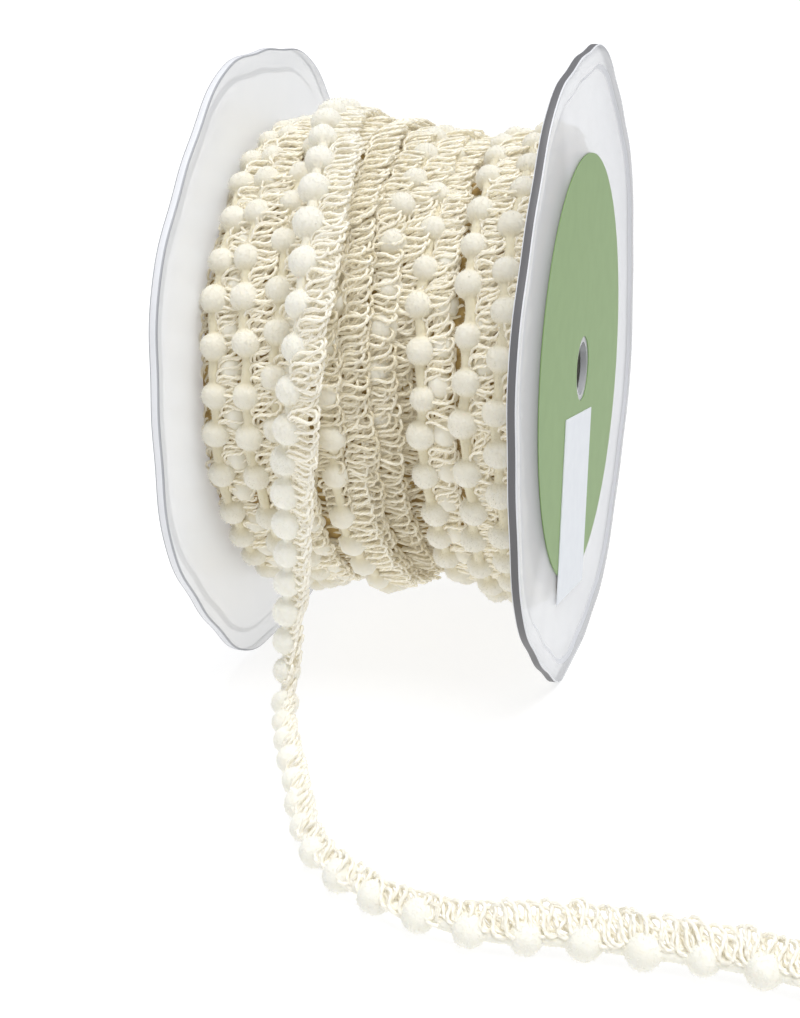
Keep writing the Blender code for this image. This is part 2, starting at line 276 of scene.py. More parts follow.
# How the trim lies round the barrel
# The trim is wound slackly by hand, so its rows wander and sink at the waist. Each row is a closed line
# of pompoms with the looped braid on one side; the last wrap lies over the rows and runs off the front.
CREST_BY_X = (
    # x, radius
    (-25.1, 37.6),
    (-23.0, 38.6),
    (-17.0, 39.7),
    (-10.0, 39.5),
    (-4.0, 38.9),
    (0.5, 37.6),
    (5.0, 36.2),
    (8.5, 36.2),
    (12.0, 36.9),
    (16.4, 38.4),
    (21.0, 38.9),
    (25.1, 37.8),
)
POMPOM_RADIUS = 2.15
POMPOM_PITCH = 6.9
WOUND_ROWS = {
    # x at the top, front, underside and back, depth under the crest at the top and at the underside, angle
    # of one pompom (none where the pompoms lie under the neighbours), braid's rise, its reach, its lift over
    # the top
    "left_rows": (
        (-26.0, -25.8, -25.6, -26.0, 1.2, 1.2, None, 0.0, 0.9, 0.3),
        (-23.0, -22.3, -21.8, -22.8, 0.2, 0.0, 87.1, -0.05, 1.0, 1.3),
        (-19.8, -16.6, -15.4, -18.0, 0.2, 0.0, 86.0, -0.05, 1.0, 1.5),
    ),
    "waist_left_rows": (
        (-14.2, -12.1, -12.4, -13.0, 0.3, 0.6, 51.2, 0.0, 0.9, 1.2),
        (-10.2, -7.6, -6.8, -8.4, 0.3, 1.2, None, 0.1, 1.0, 1.0),
        (-6.0, -3.0, -2.4, -3.8, 0.0, 1.6, None, 0.1, 1.0, 0.8),
    ),
    "waist_right_rows": (
        (-1.8, 0.6, 1.6, 0.0, 0.0, 1.6, None, 0.1, 1.0, 0.5),
        (3.2, 2.6, 2.0, 2.4, -1.3, 5.0, 58.9, 0.1, 1.0, 0.2),
        (6.8, 9.2, 10.3, 8.0, -0.3, 0.2, 85.3, 0.1, 1.0, 0.6),
    ),
    "right_rows": (
        (14.4, 16.4, 16.2, 15.6, 0.0, -0.3, 81.5, 0.1, 0.95, 0.8),
        (20.2, 21.3, 20.4, 20.8, 0.0, -0.3, 86.3, 0.0, 0.66, 0.6),
    ),
    "deep_rows": (
        (-20.9, -19.6, -19.0, -20.4, 2.0, 2.0, 83.0, 0.0, 1.0, 0.0),
        (-11.0, -9.8, -9.0, -10.0, 1.8, 1.8, 80.0, 0.0, 1.0, 0.0),
        (-4.6, -4.4, -2.2, -4.0, 2.2, -0.6, 85.0, 0.0, 1.0, 0.5),
        (4.0, 4.4, 5.0, 4.2, 1.2, 1.6, None, 0.1, 1.0, 0.5),
        (7.4, 7.4, 8.2, 7.4, 1.9, 1.9, None, 0.1, 1.0, 0.0),
        (10.0, 12.4, 12.6, 11.4, 1.6, 1.6, 84.0, 0.1, 1.0, 0.0),
        (17.0, 18.4, 18.0, 18.0, 1.8, 1.8, 79.0, 0.1, 0.9, 0.0),
    ),
}
ROW_POINTS = 360
ROW_WANDER = ((9, 0.26), (23, 0.16))
STRAND_POMPOM_RADIUS = 2.32
LAST_WRAP = (
    # angle, x, radius, braid's rise, its lift and its shift across, spacing of the pompoms
    (-170.0, -19.5, 35.4, 0.0, 0.0, 0.0, 6.9),
    (-120.0, -18.5, 36.4, 0.0, 0.0, 0.0, 6.9),
    (-75.0, -17.2, 38.0, 0.0, 0.0, 0.0, 6.9),
    (-35.0, -15.8, 38.9, 0.0, 0.4, 0.0, 6.6),
    (0.0, -14.0, 39.8, 0.0, 0.3, 0.0, 6.3),
    (18.0, -12.0, 40.8, 0.0, 0.0, 0.2, 6.2),
    (33.0, -9.4, 41.6, 0.0, 0.0, 0.3, 6.2),
    (49.0, -8.0, 42.2, 0.05, 0.1, 0.3, 6.2),
    (62.0, -7.4, 42.4, 0.1, 0.6, 0.0, 6.3),
    (74.0, -7.2, 42.3, 0.15, 1.4, -0.5, 6.2),
    (88.0, -8.2, 41.9, 0.15, 1.3, -0.5, 5.9),
    (100.7, -9.6, 41.2, 0.15, 0.4, -0.2, 5.4),
)
LAST_WRAP_POMPOM_ANGLE = 84.9
LAST_WRAP_DEPTH = -0.6
# Painted light: how much paler the last wrap is painted, out in the light over the rows
LAST_WRAP_PAINTED_LIGHT = 0.5


def blend_table(table, at, column):
    """A value read from a table whose first column rises, with soft turns at its rows."""
    if at <= table[0][0]:
        return table[0][column]
    for low, high in zip(table, table[1:]):
        if at <= high[0]:
            share = (at - low[0]) / (high[0] - low[0])
            share = share * share * (3 - 2 * share)
            return low[column] + (high[column] - low[column]) * share
    return table[-1][column]


def row_x(row, degrees):
    """Where a row is at an angle: a smooth closed line through its four places."""
    top, front, below, back = row[:4]
    angle = math.radians(degrees)
    return ((top + front + below + back) / 4 + (top - below) / 2 * math.cos(angle)
            + (front - back) / 2 * math.sin(angle) + (top - front + below - back) / 4 * math.cos(2 * angle))


def strand(places, outs, rises, beads, loops, reach, lifts, shifts, depths, ball=POMPOM_RADIUS, pale=0.0):
    """A strand's stations: place, way out, braid's direction, counts of pompoms and loops, and the rest."""
    stations = []
    for k, place in enumerate(places):
        forward = (places[min(k + 1, len(places) - 1)] - places[max(k - 1, 0)]).normalized()
        out = (outs[k] - forward * outs[k].dot(forward)).normalized()
        across = out.cross(forward)
        across *= math.copysign(1, across.x)
        stations.append({"place": place, "out": out, "way": (across + out * rises[k]).normalized(),
                         "beads": beads[k], "loops": loops[k], "reach": reach,
                         "lift": lifts[k] * MM, "shift": shifts[k] * MM, "sunk": depths[k] * MM,
                         "ball": ball * MM, "pale": pale})
    return stations


def line_length(places):
    """A line's length in millimetres."""
    return sum((b - a).length for a, b in zip(places, places[1:])) / MM


def row_strand(row, phase):
    """A closed row. It starts and ends under the spool, half-way between two pompoms."""
    pompoms = round(2 * math.pi * 37 / POMPOM_PITCH)
    step = 360 / pompoms
    top_depth, low_depth, one_pompom, rise, reach, top_lift = row[4:]
    start = (one_pompom or 0) + (pompoms // 2 + 0.5) * step
    angles = [start + 360 * k / ROW_POINTS for k in range(ROW_POINTS + 1)]
    places, outs, lifts, shifts, depths = [], [], [], [], []
    for degrees in angles:
        x = row_x(row, degrees)
        x += sum(share * math.sin(math.radians(waves * degrees) + waves * row[1])
                 for waves, share in ROW_WANDER)
        low = (1 - math.cos(math.radians(degrees))) / 2
        depths.append(top_depth + (low_depth - top_depth) * low)
        places.append(around_axis(x, blend_table(CREST_BY_X, x, 1) - POMPOM_RADIUS - depths[-1], degrees))
        outs.append(around_axis(0, 1, degrees) - around_axis(0, 0, degrees))
        lifts.append(top_lift * (1 - low) ** 3)
        shifts.append(-0.5 * lifts[-1])
    loops = round(line_length(places) / LOOP_PITCH)
    uneven = [0.07 * math.sin(math.radians(11 * (a - start)) + row[1]) for a in angles]
    beads = [(a - start) / step + 0.5 + shift - uneven[0] for a, shift in zip(angles, uneven)]
    return strand(places, outs, [rise] * len(angles), beads,
                  [phase + (a - start) / 360 * loops for a in angles], reach, lifts, shifts, depths)


def last_wrap_strand(phase):
    """The last wrap, over the rows, from behind the spool to its front. One pompom's angle is given."""
    first, last = LAST_WRAP[0][0], LAST_WRAP[-1][0]
    count = round((last - first) / 1.5)
    angles = [first + (last - first) * k / count for k in range(count + 1)]
    places = [around_axis(blend_table(LAST_WRAP, a, 1), blend_table(LAST_WRAP, a, 2), a) for a in angles]
    outs = [around_axis(0, 1, a) - around_axis(0, 0, a) for a in angles]
    rises, lifts, shifts, spacings = (
        [blend_table(LAST_WRAP, a, column) for a in angles] for column in (3, 4, 5, 6))
    steps = [0.0] + [(b - a).length / MM for a, b in zip(places, places[1:])]
    beads, loops = [0.0], [phase]
    for step, spacing in zip(steps[1:], spacings[1:]):
        beads.append(beads[-1] + step / spacing)
        loops.append(loops[-1] + step / spacing * POMPOM_PITCH / LOOP_PITCH)
    pompom = beads[round((LAST_WRAP_POMPOM_ANGLE - first) / (last - first) * count)]
    return strand(places, outs, rises, [bead - pompom for bead in beads], loops, 1.0, lifts, shifts,
                  [LAST_WRAP_DEPTH] * len(angles), ball=STRAND_POMPOM_RADIUS, pale=LAST_WRAP_PAINTED_LIGHT)


# The wound heart under the rows
# All the layers that don't show, as one ring of yarn between the flanges. Its colour is painted shade, a dim
# warm tan mottled darker, with a faint warm painted glow, for the little light that passes to it through a
# few layers of ivory yarn.
HEART_DROP = 3.6
HEART_INNER = 20.3
HEART_HALF_WIDTH = 25.0
HEART_STRIPS = 60


def heart_mesh(name):
    """A ring whose outside follows the crests of the rows at a depth."""
    shape = bmesh.new()
    profile = [-HEART_HALF_WIDTH + 2 * HEART_HALF_WIDTH * k / HEART_STRIPS for k in range(HEART_STRIPS + 1)]
    rings = []
    for k in range(ROW_POINTS):
        degrees = 360 * k / ROW_POINTS
        ring = [around_axis(x, blend_table(CREST_BY_X, x, 1) - HEART_DROP, degrees) for x in profile]
        ring += [around_axis(x, HEART_INNER, degrees) for x in (HEART_HALF_WIDTH, -HEART_HALF_WIDTH)]
        rings.append([shape.verts.new(point) for point in ring])
    for ring, following in zip(rings, rings[1:] + rings[:1]):
        for k in range(len(ring)):
            after = (k + 1) % len(ring)
            face = shape.faces.new((ring[k], ring[after], following[after], following[k]))
            face.smooth = True
    bmesh.ops.recalc_face_normals(shape, faces=shape.faces)
    mesh = bpy.data.meshes.new(name)
    shape.to_mesh(mesh)
    shape.free()
    mesh.set_sharp_from_angle(angle=math.radians(40))
    return mesh


# Painted shade: the dark warm base colour and its darker mottle; the warm emission is a painted glow.
heart_yarn_painted_shade, tree, shader = new_material(
    "wound_yarn_in_shade", Roughness=0.9, Emission_Color=colour("#C9A868"), Emission_Strength=0.07)
place = add_node(tree, "ShaderNodeTexCoord").outputs["Object"]
tufts = add_node(tree, "ShaderNodeTexVoronoi", {"Scale": 700.0, "Vector": place})
tone = add_node(tree, "ShaderNodeMix", {
    "Factor": tufts.outputs["Distance"], 6: colour("#AE9459"), 7: colour("#6A5028")}, data_type="RGBA")
tree.links.new(tone.outputs[2], shader.inputs["Base Color"])
bump = add_node(tree, "ShaderNodeBump", {
    "Strength": 0.8, "Distance": 0.0006, "Height": tufts.outputs["Distance"]})
tree.links.new(bump.outputs[0], shader.inputs["Normal"])
heart = mesh_piece("winding_heart", heart_mesh("winding_heart"), heart_yarn_painted_shade)
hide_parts("winding")
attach(heart, "root")

# The looped braid
# A gimp heading of glossy filament yarns that loop back and forth across each other, their round ends
# showing along both edges. It is caught to the pompoms' core on its near side. The yarn is drawn a
# little thicker than it is, so that its loops show.
BRAID_NEAR = 1.2
BRAID_FAR = 5.1
BRAID_LIFT = -0.3
LOOP_PITCH = 1.5
YARN_RADIUS = 0.26
LOOP_STEP = 0.12
LOOP_LIFT = 0.4
LOOP_SWAY = 0.6
LOOP_SLANT = 0.8
LOOP_UNEVENNESS = 0.95
# How far the unevenness puts a loop early or late (radians), makes it longer (share), moves it across (mm),
# leans it (spread and mean) and lifts it (mm)
LOOP_TIMING = 6.0
LOOP_LENGTHS = 1.6
LOOP_STRAY = 1.6
LOOP_LEANS = (6.0, -0.9)
LOOP_RISES = 3.2
WANDER_SCALES = ((150.0, 0.0), (420.0, 0.0), (380.0, 7.3))
BRAID_YARNS = (
    # near edge and far edge, from the braid's own; lead and number of loops, as shares of the braid's; lift
    (-0.2, -0.1, 0.0, 1.0, 0.2),
    (0.4, 0.1, 0.5, 1.12, -0.35),
    (-0.4, -1.6, 0.25, 0.9, -0.1),
)


def strand_lines(name, strands):
    """The strands as polylines with the attributes that the nodes read."""
    points, edges = [], []
    for stations in strands:
        edges += [(len(points) + k, len(points) + k + 1) for k in range(len(stations) - 1)]
        points += [station["place"] for station in stations]
    mesh = bpy.data.meshes.new(name)
    mesh.from_pydata(points, edges, [])
    for key in ("out", "way"):
        flat = [c for stations in strands for station in stations for c in station[key]]
        mesh.attributes.new(key, "FLOAT_VECTOR", "POINT").data.foreach_set("vector", flat)
    for key in ("beads", "loops", "reach", "lift", "shift", "sunk", "ball", "pale"):
        flat = [station[key] for stations in strands for station in stations]
        mesh.attributes.new(key, "FLOAT", "POINT").data.foreach_set("value", flat)
    spacing = []
    for stations in strands:
        for before, after in zip([stations[0]] + stations[:-1], stations[1:] + [stations[-1]]):
            spacing.append((after["place"] - before["place"]).length / (after["beads"] - before["beads"]))
    mesh.attributes.new("spacing", "FLOAT", "POINT").data.foreach_set("value", spacing)
    return mesh


def node_group(name, sizes):
    """An empty geometry tree with a mesh in, a mesh out, and named sizes."""
    tree = bpy.data.node_groups.new(name, "GeometryNodeTree")
    tree.interface.new_socket("Geometry", in_out="INPUT", socket_type="NodeSocketGeometry")
    for size in sizes:
        kind = {"Material": "NodeSocketMaterial", "Sides": "NodeSocketInt", "Seed": "NodeSocketInt"}
        tree.interface.new_socket(size, in_out="INPUT", socket_type=kind.get(size, "NodeSocketFloat"))
    tree.interface.new_socket("Geometry", in_out="OUTPUT", socket_type="NodeSocketGeometry")
    return tree, add_node(tree, "NodeGroupInput").outputs


def braid_nodes():
    """Lines with out, way, loops, reach, lift, shift and sunk in; one looped yarn on each out."""
    tree, given = node_group("looped_braid", (
        "Near", "Far", "Base lift", "Lead", "Loops ratio", "Loop lift", "Sway", "Slant", "Step",
        "Yarn radius",
        "Unevenness", "Sides", "Seed", "Material"))
    lines = add_node(tree, "GeometryNodeMeshToCurve", {"Mesh": given["Geometry"]})
    fine = add_node(tree, "GeometryNodeResampleCurve", {
        "Curve": lines, "Length": given["Step"]}, mode="LENGTH")
    kinds = dict.fromkeys(("loops", "reach", "lift", "shift", "sunk"), "FLOAT")
    kinds.update(out="FLOAT_VECTOR", way="FLOAT_VECTOR")
    here = {key: add_node(tree, "GeometryNodeInputNamedAttribute", {"Name": key}, data_type=kind)
            for key, kind in kinds.items()}
    maths = "ShaderNodeMath"
    place = add_node(tree, "GeometryNodeInputPosition")
    wander = []
    for scale, seed_step in WANDER_SCALES:
        seed = add_node(tree, maths, {0: given["Seed"], 1: seed_step}, operation="ADD")
        noise = add_node(tree, "ShaderNodeTexNoise", {
            "Vector": place, "W": seed, "Scale": scale, "Detail": 1.0}, noise_dimensions="4D")
        centred = add_node(tree, maths, {0: noise.outputs["Fac"], 1: 0.5}, operation="SUBTRACT")
        wander.append(add_node(tree, maths, {0: centred, 1: given["Unevenness"]}, operation="MULTIPLY"))
    slow, quick, other = wander

    # the turn of the loop: one whole turn for each loop, now early, now late
    turn = add_node(tree, maths, {
        0: here["loops"], 1: given["Loops ratio"], 2: given["Lead"]}, operation="MULTIPLY_ADD")
    turn = add_node(tree, maths, {0: turn, 1: 2 * math.pi}, operation="MULTIPLY")
    turn = add_node(tree, maths, {0: slow, 1: LOOP_TIMING, 2: turn}, operation="MULTIPLY_ADD")
    swing = add_node(tree, maths, {0: turn}, operation="COSINE")

    # across: between the near edge and the far edge, some loops longer than others
    ends = add_node(tree, maths, {0: given["Near"], 1: given["Far"]}, operation="ADD")
    middle = add_node(tree, maths, {0: ends, 1: 0.5}, operation="MULTIPLY")
    half = add_node(tree, maths, {0: given["Far"], 1: middle}, operation="SUBTRACT")
    longer = add_node(tree, maths, {0: quick, 1: LOOP_LENGTHS, 2: 1.0}, operation="MULTIPLY_ADD")
    half = add_node(tree, maths, {0: half, 1: longer}, operation="MULTIPLY")
    strayed = add_node(tree, maths, {0: other, 1: LOOP_STRAY * MM, 2: middle}, operation="MULTIPLY_ADD")
    across = add_node(tree, maths, {0: swing, 1: half, 2: strayed}, operation="MULTIPLY_ADD")
    across = add_node(tree, maths, {
        0: across, 1: here["reach"], 2: here["shift"]}, operation="MULTIPLY_ADD")

    # along: twice a turn, which rounds the ends, and a slant that differs from loop to loop
    twice = add_node(tree, maths, {0: turn, 1: 2.0}, operation="MULTIPLY")
    round_end = add_node(tree, maths, {0: twice}, operation="SINE")
    round_end = add_node(tree, maths, {0: round_end, 1: given["Sway"]}, operation="MULTIPLY")
    slant = add_node(tree, maths, {0: other, 1: LOOP_LEANS[0], 2: LOOP_LEANS[1]}, operation="MULTIPLY_ADD")
    slant = add_node(tree, maths, {0: slant, 1: given["Slant"]}, operation="MULTIPLY")
    along = add_node(tree, maths, {0: swing, 1: slant, 2: round_end}, operation="MULTIPLY_ADD")

    # outward: over and under once a turn, with whole loops standing up or lying down
    rising = add_node(tree, maths, {0: turn}, operation="SINE")
    lift = add_node(tree, maths, {
        0: rising, 1: given["Loop lift"], 2: given["Base lift"]}, operation="MULTIPLY_ADD")
    lift = add_node(tree, maths, {0: quick, 1: LOOP_RISES * MM, 2: lift}, operation="MULTIPLY_ADD")
    height = add_node(tree, maths, {0: lift, 1: here["sunk"]}, operation="SUBTRACT")
    lift = add_node(tree, maths, {0: lift, 1: here["lift"]}, operation="ADD")

    shift = add_node(tree, "ShaderNodeVectorMath", {0: here["way"], "Scale": across}, operation="SCALE")
    for direction, amount in ((here["out"], lift), (add_node(tree, "GeometryNodeInputTangent"), along)):
        part = add_node(tree, "ShaderNodeVectorMath", {0: direction, "Scale": amount}, operation="SCALE")
        shift = add_node(tree, "ShaderNodeVectorMath", {0: shift, 1: part}, operation="ADD")
    looped = add_node(tree, "GeometryNodeSetPosition", {"Geometry": fine, "Offset": shift})
    run = add_node(tree, "GeometryNodeSplineParameter")
    marked = add_node(tree, "GeometryNodeStoreNamedAttribute",
                      {"Geometry": looped, "Name": "yarn_run", "Value": run.outputs["Length"]},
                      data_type="FLOAT")
    # yarn_height: the yarn's height under the others, which its material turns into painted shade
    marked = add_node(tree, "GeometryNodeStoreNamedAttribute",
                      {"Geometry": marked, "Name": "yarn_height", "Value": height}, data_type="FLOAT")
    circle = add_node(tree, "GeometryNodeCurvePrimitiveCircle", {"Resolution": given["Sides"],
                                                                 "Radius": given["Yarn radius"]})
    section = add_node(tree, "GeometryNodeStoreNamedAttribute",
                       {"Geometry": circle, "Name": "yarn_turn", "Value": run.outputs["Factor"]},
                       data_type="FLOAT")
    tube = add_node(tree, "GeometryNodeCurveToMesh", {
        "Curve": marked, "Profile Curve": section, "Fill Caps": True})
    smooth = add_node(tree, "GeometryNodeSetShadeSmooth", {"Geometry": tube})
    real = add_node(tree, "GeometryNodeRealizeInstances", {"Geometry": smooth})
    painted = add_node(tree, "GeometryNodeSetMaterial", {"Geometry": real, "Material": given["Material"]})
    add_node(tree, "NodeGroupOutput", {0: painted})
    return tree


def grown(name, base_mesh, tree, **sizes):
    """The base mesh after its nodes, as a plain mesh. Underscores in a size's name stand for spaces."""
    base = mesh_piece(name + "_base", base_mesh)
    modifier = base.modifiers.new("nodes", "NODES")
    modifier.node_group = tree
    for item in tree.interface.items_tree:
        key = item.name.replace(" ", "_")
        if item.in_out == "INPUT" and key in sizes:
            modifier[item.identifier] = sizes[key]
    evaluated = base.evaluated_get(bpy.context.evaluated_depsgraph_get())
    mesh = bpy.data.meshes.new_from_object(evaluated)
    mesh.name = name
    bpy.data.objects.remove(base)
    return mesh


def joined(name, meshes):
    """Several meshes as one piece."""
    shape = bmesh.new()
    for mesh in meshes:
        shape.from_mesh(mesh)
    whole = bpy.data.meshes.new(name)
    shape.to_mesh(whole)
    shape.free()
    whole.materials.append(meshes[0].materials[0])
    return mesh_piece(name, whole)


# Filament viscose, thrown with a slack twist: smooth and glossy, with a pale cream body. Painted shade
# darkens it where a loop lies under the others or its row lies deeper in the winding, a faint painted glow
# lifts it all over, and the last wrap and the loose end are painted paler, where they lie out in the light.
gimp_yarn, tree, shader = new_material(
    "glossy_gimp_yarn", Roughness=0.25, Specular_IOR_Level=0.8, Subsurface_Weight=0.3,
    Subsurface_Radius=(1.0, 0.92, 0.7), Subsurface_Scale=0.0015, Emission_Color=colour("#F6ECD2"),
    Emission_Strength=0.13)
run = add_node(tree, "ShaderNodeAttribute", attribute_name="yarn_run")
turn = add_node(tree, "ShaderNodeAttribute", attribute_name="yarn_turn")
about = add_node(tree, "ShaderNodeMath", {0: turn.outputs["Fac"], 1: 4 * math.pi}, operation="MULTIPLY")
phase = add_node(tree, "ShaderNodeMath", {0: run.outputs["Fac"], 1: 2 * math.pi / (1.0 * MM), 2: about},
                 operation="MULTIPLY_ADD")
twist = add_node(tree, "ShaderNodeMath", {0: phase}, operation="SINE")
strands_tone = add_node(tree, "ShaderNodeMix", {
    "Factor": twist, 6: colour("#EEE6CF"), 7: colour("#FAF5E6")}, data_type="RGBA")
# Painted shade: the yarn is darker the lower it lies under the other loops and the deeper its row sits in the
# winding.
height = add_node(tree, "ShaderNodeAttribute", attribute_name="yarn_height")
deep = add_node(tree, "ShaderNodeMapRange", {"Value": height.outputs["Fac"], "From Min": -0.2 * MM,
                                             "From Max": -1.9 * MM})
tone = add_node(tree, "ShaderNodeMix", {"Factor": deep, 6: strands_tone.outputs[2], 7: colour("#B7AA8B")},
                data_type="RGBA")
# Painted light: the last wrap and the loose end are painted paler, where they lie out in the light.
pale = add_node(tree, "ShaderNodeAttribute", attribute_name="pale")
tone = add_node(tree, "ShaderNodeMix", {
    "Factor": pale.outputs["Fac"], 6: tone.outputs[2], 7: colour("#F3EFE2")}, data_type="RGBA")
tree.links.new(tone.outputs[2], shader.inputs["Base Color"])
bump = add_node(tree, "ShaderNodeBump", {"Strength": 0.5, "Distance": 0.0001, "Height": twist})
tree.links.new(bump.outputs[0], shader.inputs["Normal"])

braid_tree = braid_nodes()


def braid_piece(name, strands, yarns_used=BRAID_YARNS, step=LOOP_STEP, sides=5, seed=1):
    """The yarns of the braid along some strands, one across another."""
    common = dict(Step=step * MM, Sway=LOOP_SWAY * MM, Slant=LOOP_SLANT * MM, Loop_lift=LOOP_LIFT * MM,
                  Yarn_radius=YARN_RADIUS * MM, Unevenness=LOOP_UNEVENNESS, Sides=sides, Material=gimp_yarn)
    yarns = []
    for number, (from_near, from_far, lead, ratio, lift) in enumerate(yarns_used):
        yarns.append(grown(
            f"{name}_{number}", strand_lines(name, strands), braid_tree, Lead=lead, Loops_ratio=ratio,
            Near=(BRAID_NEAR + from_near) * MM, Far=(BRAID_FAR + from_far) * MM,
            Base_lift=(BRAID_LIFT + lift) * MM, Seed=seed + 3 * number, **common))
    return joined(name, yarns)


# Pompoms and their core
# One string of cut acrylic pile: where the pile is left long it stands up as a small soft ball, and
# between the balls it is a thin chenille cord. The pile's tips are drawn far coarser than they are, so
# that they show.
CORE_RADIUS = 0.78
POMPOM_SIZES = (0.93, 1.07)
POMPOM_LUMPS = 0.34
LUMP_SCALES = ((500.0, 1.0), (1500.0, 0.5))
PILE_FROM = 0.3
PILE_ROOT = 0.14
PILE_LEAN = (0.5, 0.5, 3.0)
PILE_LENGTH = 0.46
PILE_WIDTH = 0.11
PILE_PER_SQUARE_MM = 5.5


def pompom_nodes():
    """Lines with beads in; the pompom string out, with the tips of its pile."""
    tree, given = node_group("pompom_string", (
        "Core radius", "Step", "Sides", "Lumps", "Pile length", "Pile width",
        "Pile density", "Seed", "Material"))
    lines = add_node(tree, "GeometryNodeMeshToCurve", {"Mesh": given["Geometry"]})
    fine = add_node(tree, "GeometryNodeResampleCurve", {
        "Curve": lines, "Length": given["Step"]}, mode="LENGTH")
    maths = "ShaderNodeMath"

    # the radius: a ball about each whole number of beads, no two quite the same, and the core between
    beads, spacing, ball = (
        add_node(tree, "GeometryNodeInputNamedAttribute", {"Name": key}, data_type="FLOAT")
        for key in ("beads", "spacing", "ball"))
    nearest = add_node(tree, maths, {0: beads}, operation="ROUND")
    from_ball = add_node(tree, maths, {0: beads, 1: nearest}, operation="SUBTRACT")
    distance = add_node(tree, maths, {0: from_ball, 1: spacing}, operation="MULTIPLY")
    draw = add_node(tree, "FunctionNodeRandomValue", {
        2: POMPOM_SIZES[0], 3: POMPOM_SIZES[1], "ID": nearest, "Seed": given["Seed"]}, data_type="FLOAT")
    ball = add_node(tree, maths, {0: ball, 1: draw.outputs[1]}, operation="MULTIPLY")
    ball_square = add_node(tree, maths, {0: ball, 1: 2.0}, operation="POWER")
    distance_square = add_node(tree, maths, {0: distance, 1: 2.0}, operation="POWER")
    left = add_node(tree, maths, {0: ball_square, 1: distance_square}, operation="SUBTRACT")
    left = add_node(tree, maths, {0: left, 1: 0.0}, operation="MAXIMUM")
    round_ball = add_node(tree, maths, {0: left}, operation="SQRT")
    radius = add_node(tree, maths, {0: round_ball, 1: given["Core radius"]}, operation="MAXIMUM")
    sized = add_node(tree, "GeometryNodeSetCurveRadius", {"Curve": fine, "Radius": radius})
    # on_ball also feeds the painted shade of the core in the pile's material
    on_ball = add_node(tree, maths, {0: radius, 1: ball}, operation="DIVIDE")
    marked = add_node(tree, "GeometryNodeStoreNamedAttribute",
                      {"Geometry": sized, "Name": "on_ball", "Value": on_ball}, data_type="FLOAT")
    circle = add_node(tree, "GeometryNodeCurvePrimitiveCircle", {
        "Resolution": given["Sides"], "Radius": 1.0})
    tube = add_node(tree, "GeometryNodeCurveToMesh", {
        "Curve": marked, "Profile Curve": circle, "Fill Caps": True})
    if "Scale" in tube.inputs:
        tree.links.new(add_node(tree, "GeometryNodeInputRadius").outputs[0], tube.inputs["Scale"])

    # the pile isn't trimmed quite round
    place = add_node(tree, "GeometryNodeInputPosition")
    bulge = 0.0
    for scale, share in LUMP_SCALES:
        noise = add_node(tree, "ShaderNodeTexNoise", {
            "Vector": place, "W": share, "Scale": scale, "Detail": 1.0}, noise_dimensions="4D")
        centred = add_node(tree, maths, {0: noise.outputs["Fac"], 1: 0.5}, operation="SUBTRACT")
        amount = add_node(tree, maths, {0: given["Lumps"], 1: share}, operation="MULTIPLY")
        bulge = add_node(tree, maths, {0: centred, 1: amount, 2: bulge}, operation="MULTIPLY_ADD")
    shift = add_node(tree, "ShaderNodeVectorMath", {
        0: add_node(tree, "GeometryNodeInputNormal"), "Scale": bulge}, operation="SCALE")
    lumpy = add_node(tree, "GeometryNodeSetPosition", {"Geometry": tube, "Offset": shift})
    smooth = add_node(tree, "GeometryNodeSetShadeSmooth", {"Geometry": lumpy})

    # tips of pile that stand out of the balls, each leaning its own way
    swell = add_node(tree, "GeometryNodeInputNamedAttribute", {"Name": "on_ball"}, data_type="FLOAT")
    piled = add_node(tree, maths, {0: swell, 1: PILE_FROM}, operation="GREATER_THAN")
    thick = add_node(tree, maths, {0: piled, 1: given["Pile density"]}, operation="MULTIPLY")
    roots = add_node(tree, "GeometryNodeDistributePointsOnFaces", {"Mesh": smooth, "Density": thick,
                                                                   "Seed": given["Seed"]})
    tip = add_node(tree, "GeometryNodeMeshCone", {
        "Vertices": 3, "Radius Top": 0.0, "Radius Bottom": given["Pile width"],
        "Depth": given["Pile length"]})
    tip = add_node(tree, "GeometryNodeTransform", {
        "Geometry": tip, "Translation": (0.0, 0.0, -PILE_ROOT * MM)})
    lean = add_node(tree, "FunctionNodeRandomValue", {
        0: tuple(-most for most in PILE_LEAN), 1: PILE_LEAN, "Seed": given["Seed"]},
        data_type="FLOAT_VECTOR")
    leaning = add_node(tree, "FunctionNodeEulerToRotation", {0: lean})
    stood = add_node(tree, "FunctionNodeRotateRotation", {0: roots.outputs["Rotation"], 1: leaning},
                     rotation_space="LOCAL")
    pile_tips = add_node(tree, "GeometryNodeInstanceOnPoints", {
        "Points": roots, "Instance": tip, "Rotation": stood})
    both = add_node(tree, "GeometryNodeJoinGeometry")
    tree.links.new(smooth.outputs[0], both.inputs[0])
    tree.links.new(pile_tips.outputs[0], both.inputs[0])
    real = add_node(tree, "GeometryNodeRealizeInstances", {"Geometry": both})
    painted = add_node(tree, "GeometryNodeSetMaterial", {"Geometry": real, "Material": given["Material"]})
    add_node(tree, "NodeGroupOutput", {0: painted})
    return tree


